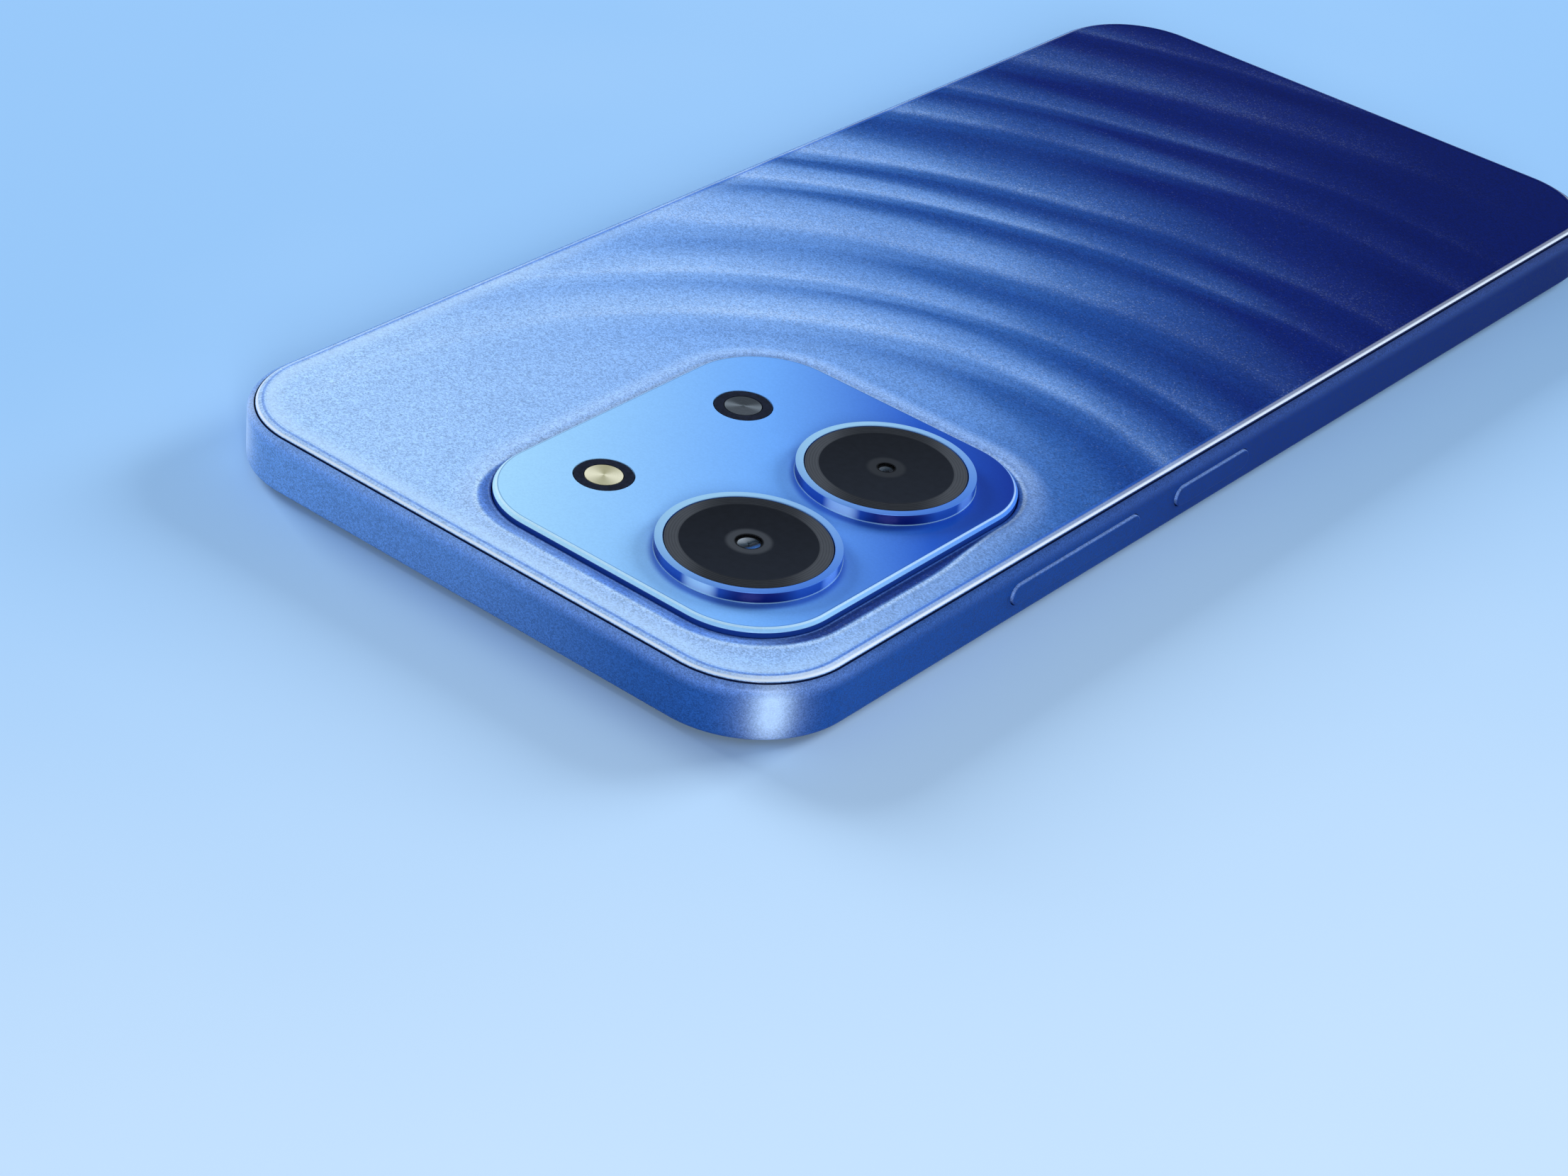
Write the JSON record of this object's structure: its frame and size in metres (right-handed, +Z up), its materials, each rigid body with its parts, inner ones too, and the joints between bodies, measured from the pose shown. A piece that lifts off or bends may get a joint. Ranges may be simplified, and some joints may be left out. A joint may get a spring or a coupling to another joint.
{
  "type": "smartphone",
  "caption": "Slab smartphone lying on its screen, with a frosted back, a raised camera island with stepped lens rings, spring-back side keys and a pull-out card tray.",
  "frame": {"origin": "on the table under the middle of the phone, on the outer face of the screen glass", "axes": "+Y towards the phone's top end, +Z up out of the back, +X to the right as one looks down on the back"},
  "size_m": [0.0815, 0.1732, 0.0099],
  "materials": {
    "frame_blue": "satin metallic blue",
    "cover_blue": "frosted blue with a fine sparkle and soft ripples, polished edge",
    "island_blue": "glossy blue that deepens towards one corner, polished chamfer",
    "ring_blue": "turned and anodised blue, mirror wall",
    "black_glass": "gloss black glass",
    "lens_glass": "coated lens",
    "flash_cream": "ringed clear lens over a cream lamp",
    "black_plastic": "moulded black",
    "grey_mesh": "woven acoustic mesh",
    "board_green": "green solder mask",
    "flex_amber": "amber film",
    "battery_foil": "dark foil wrap",
    "steel": "pressed stainless steel",
    "glue_tape": "black adhesive tape",
    "foam": "black foam",
    "chip_white": "white ceramic"
  },
  "bodies": {
    "phone": {"mid_frame": "frame_blue", "rear_cover": "cover_blue", "cover_tape": "glue_tape", "camera_island": "island_blue", "lens_ring_upper": "ring_blue", "lens_ring_lower": "ring_blue", "lens_window_upper": "black_glass", "lens_window_lower": "black_glass", "camera_upper": "black_plastic", "camera_lower": "black_plastic", "lens_element_upper": "lens_glass", "lens_element_lower": "lens_glass", "lens_seal_upper": "foam", "lens_seal_lower": "foam", "flash_bezel": "black_plastic", "flash_window": "flash_cream", "flash_led": "chip_white", "sensor_bezel": "black_plastic", "sensor_window": "black_glass", "light_sensor": "chip_white", "power_switch": "steel", "volume_up_switch": "steel", "volume_down_switch": "steel", "key_flex": "flex_amber", "key_bracket": "steel", "sim_reader": "steel", "main_board": "board_green", "processor_shield": "steel", "radio_shield": "steel", "upper_bracket": "black_plastic", "lower_bracket": "black_plastic", "screw_1": "steel", "screw_2": "steel", "screw_3": "steel", "screw_4": "steel", "screw_5": "steel", "screw_6": "steel", "screw_7": "steel", "screw_8": "steel", "battery": "battery_foil", "battery_plug": "black_plastic", "battery_lead": "flex_amber", "main_flex": "flex_amber", "usb_port": "steel", "usb_tongue": "black_plastic", "headphone_jack": "black_plastic", "lower_board": "board_green", "microphone": "steel", "speaker_box": "black_plastic", "vibration_motor": "steel", "front_glass": "black_glass", "display_tape": "glue_tape", "display_panel": "black_glass", "front_camera": "black_plastic", "earpiece_receiver": "steel", "earpiece_mesh": "grey_mesh"},
    "power_key": {"power_key": "frame_blue"},
    "volume_key": {"volume_key": "frame_blue"},
    "sim_tray": {"sim_tray": "frame_blue"}
  },
  "joints": [
    {"name": "power_key_press", "type": "slide", "parent": "phone", "child": "power_key", "axis": [1, 0, 0], "range_m": [0, 0.00025], "stiffness_N_per_m": 1500},
    {"name": "volume_key_rock", "type": "hinge", "parent": "phone", "child": "volume_key", "pos_m": [-0.03905, 0.0346, 0.00375], "axis": [0, 0, 1], "range_deg": [-1, 1], "stiffness_Nm_per_rad": 0.8},
    {"name": "sim_tray_slide", "type": "slide", "parent": "phone", "child": "sim_tray", "axis": [1, 0, 0], "range_m": [0, 0.042]}
  ]
}
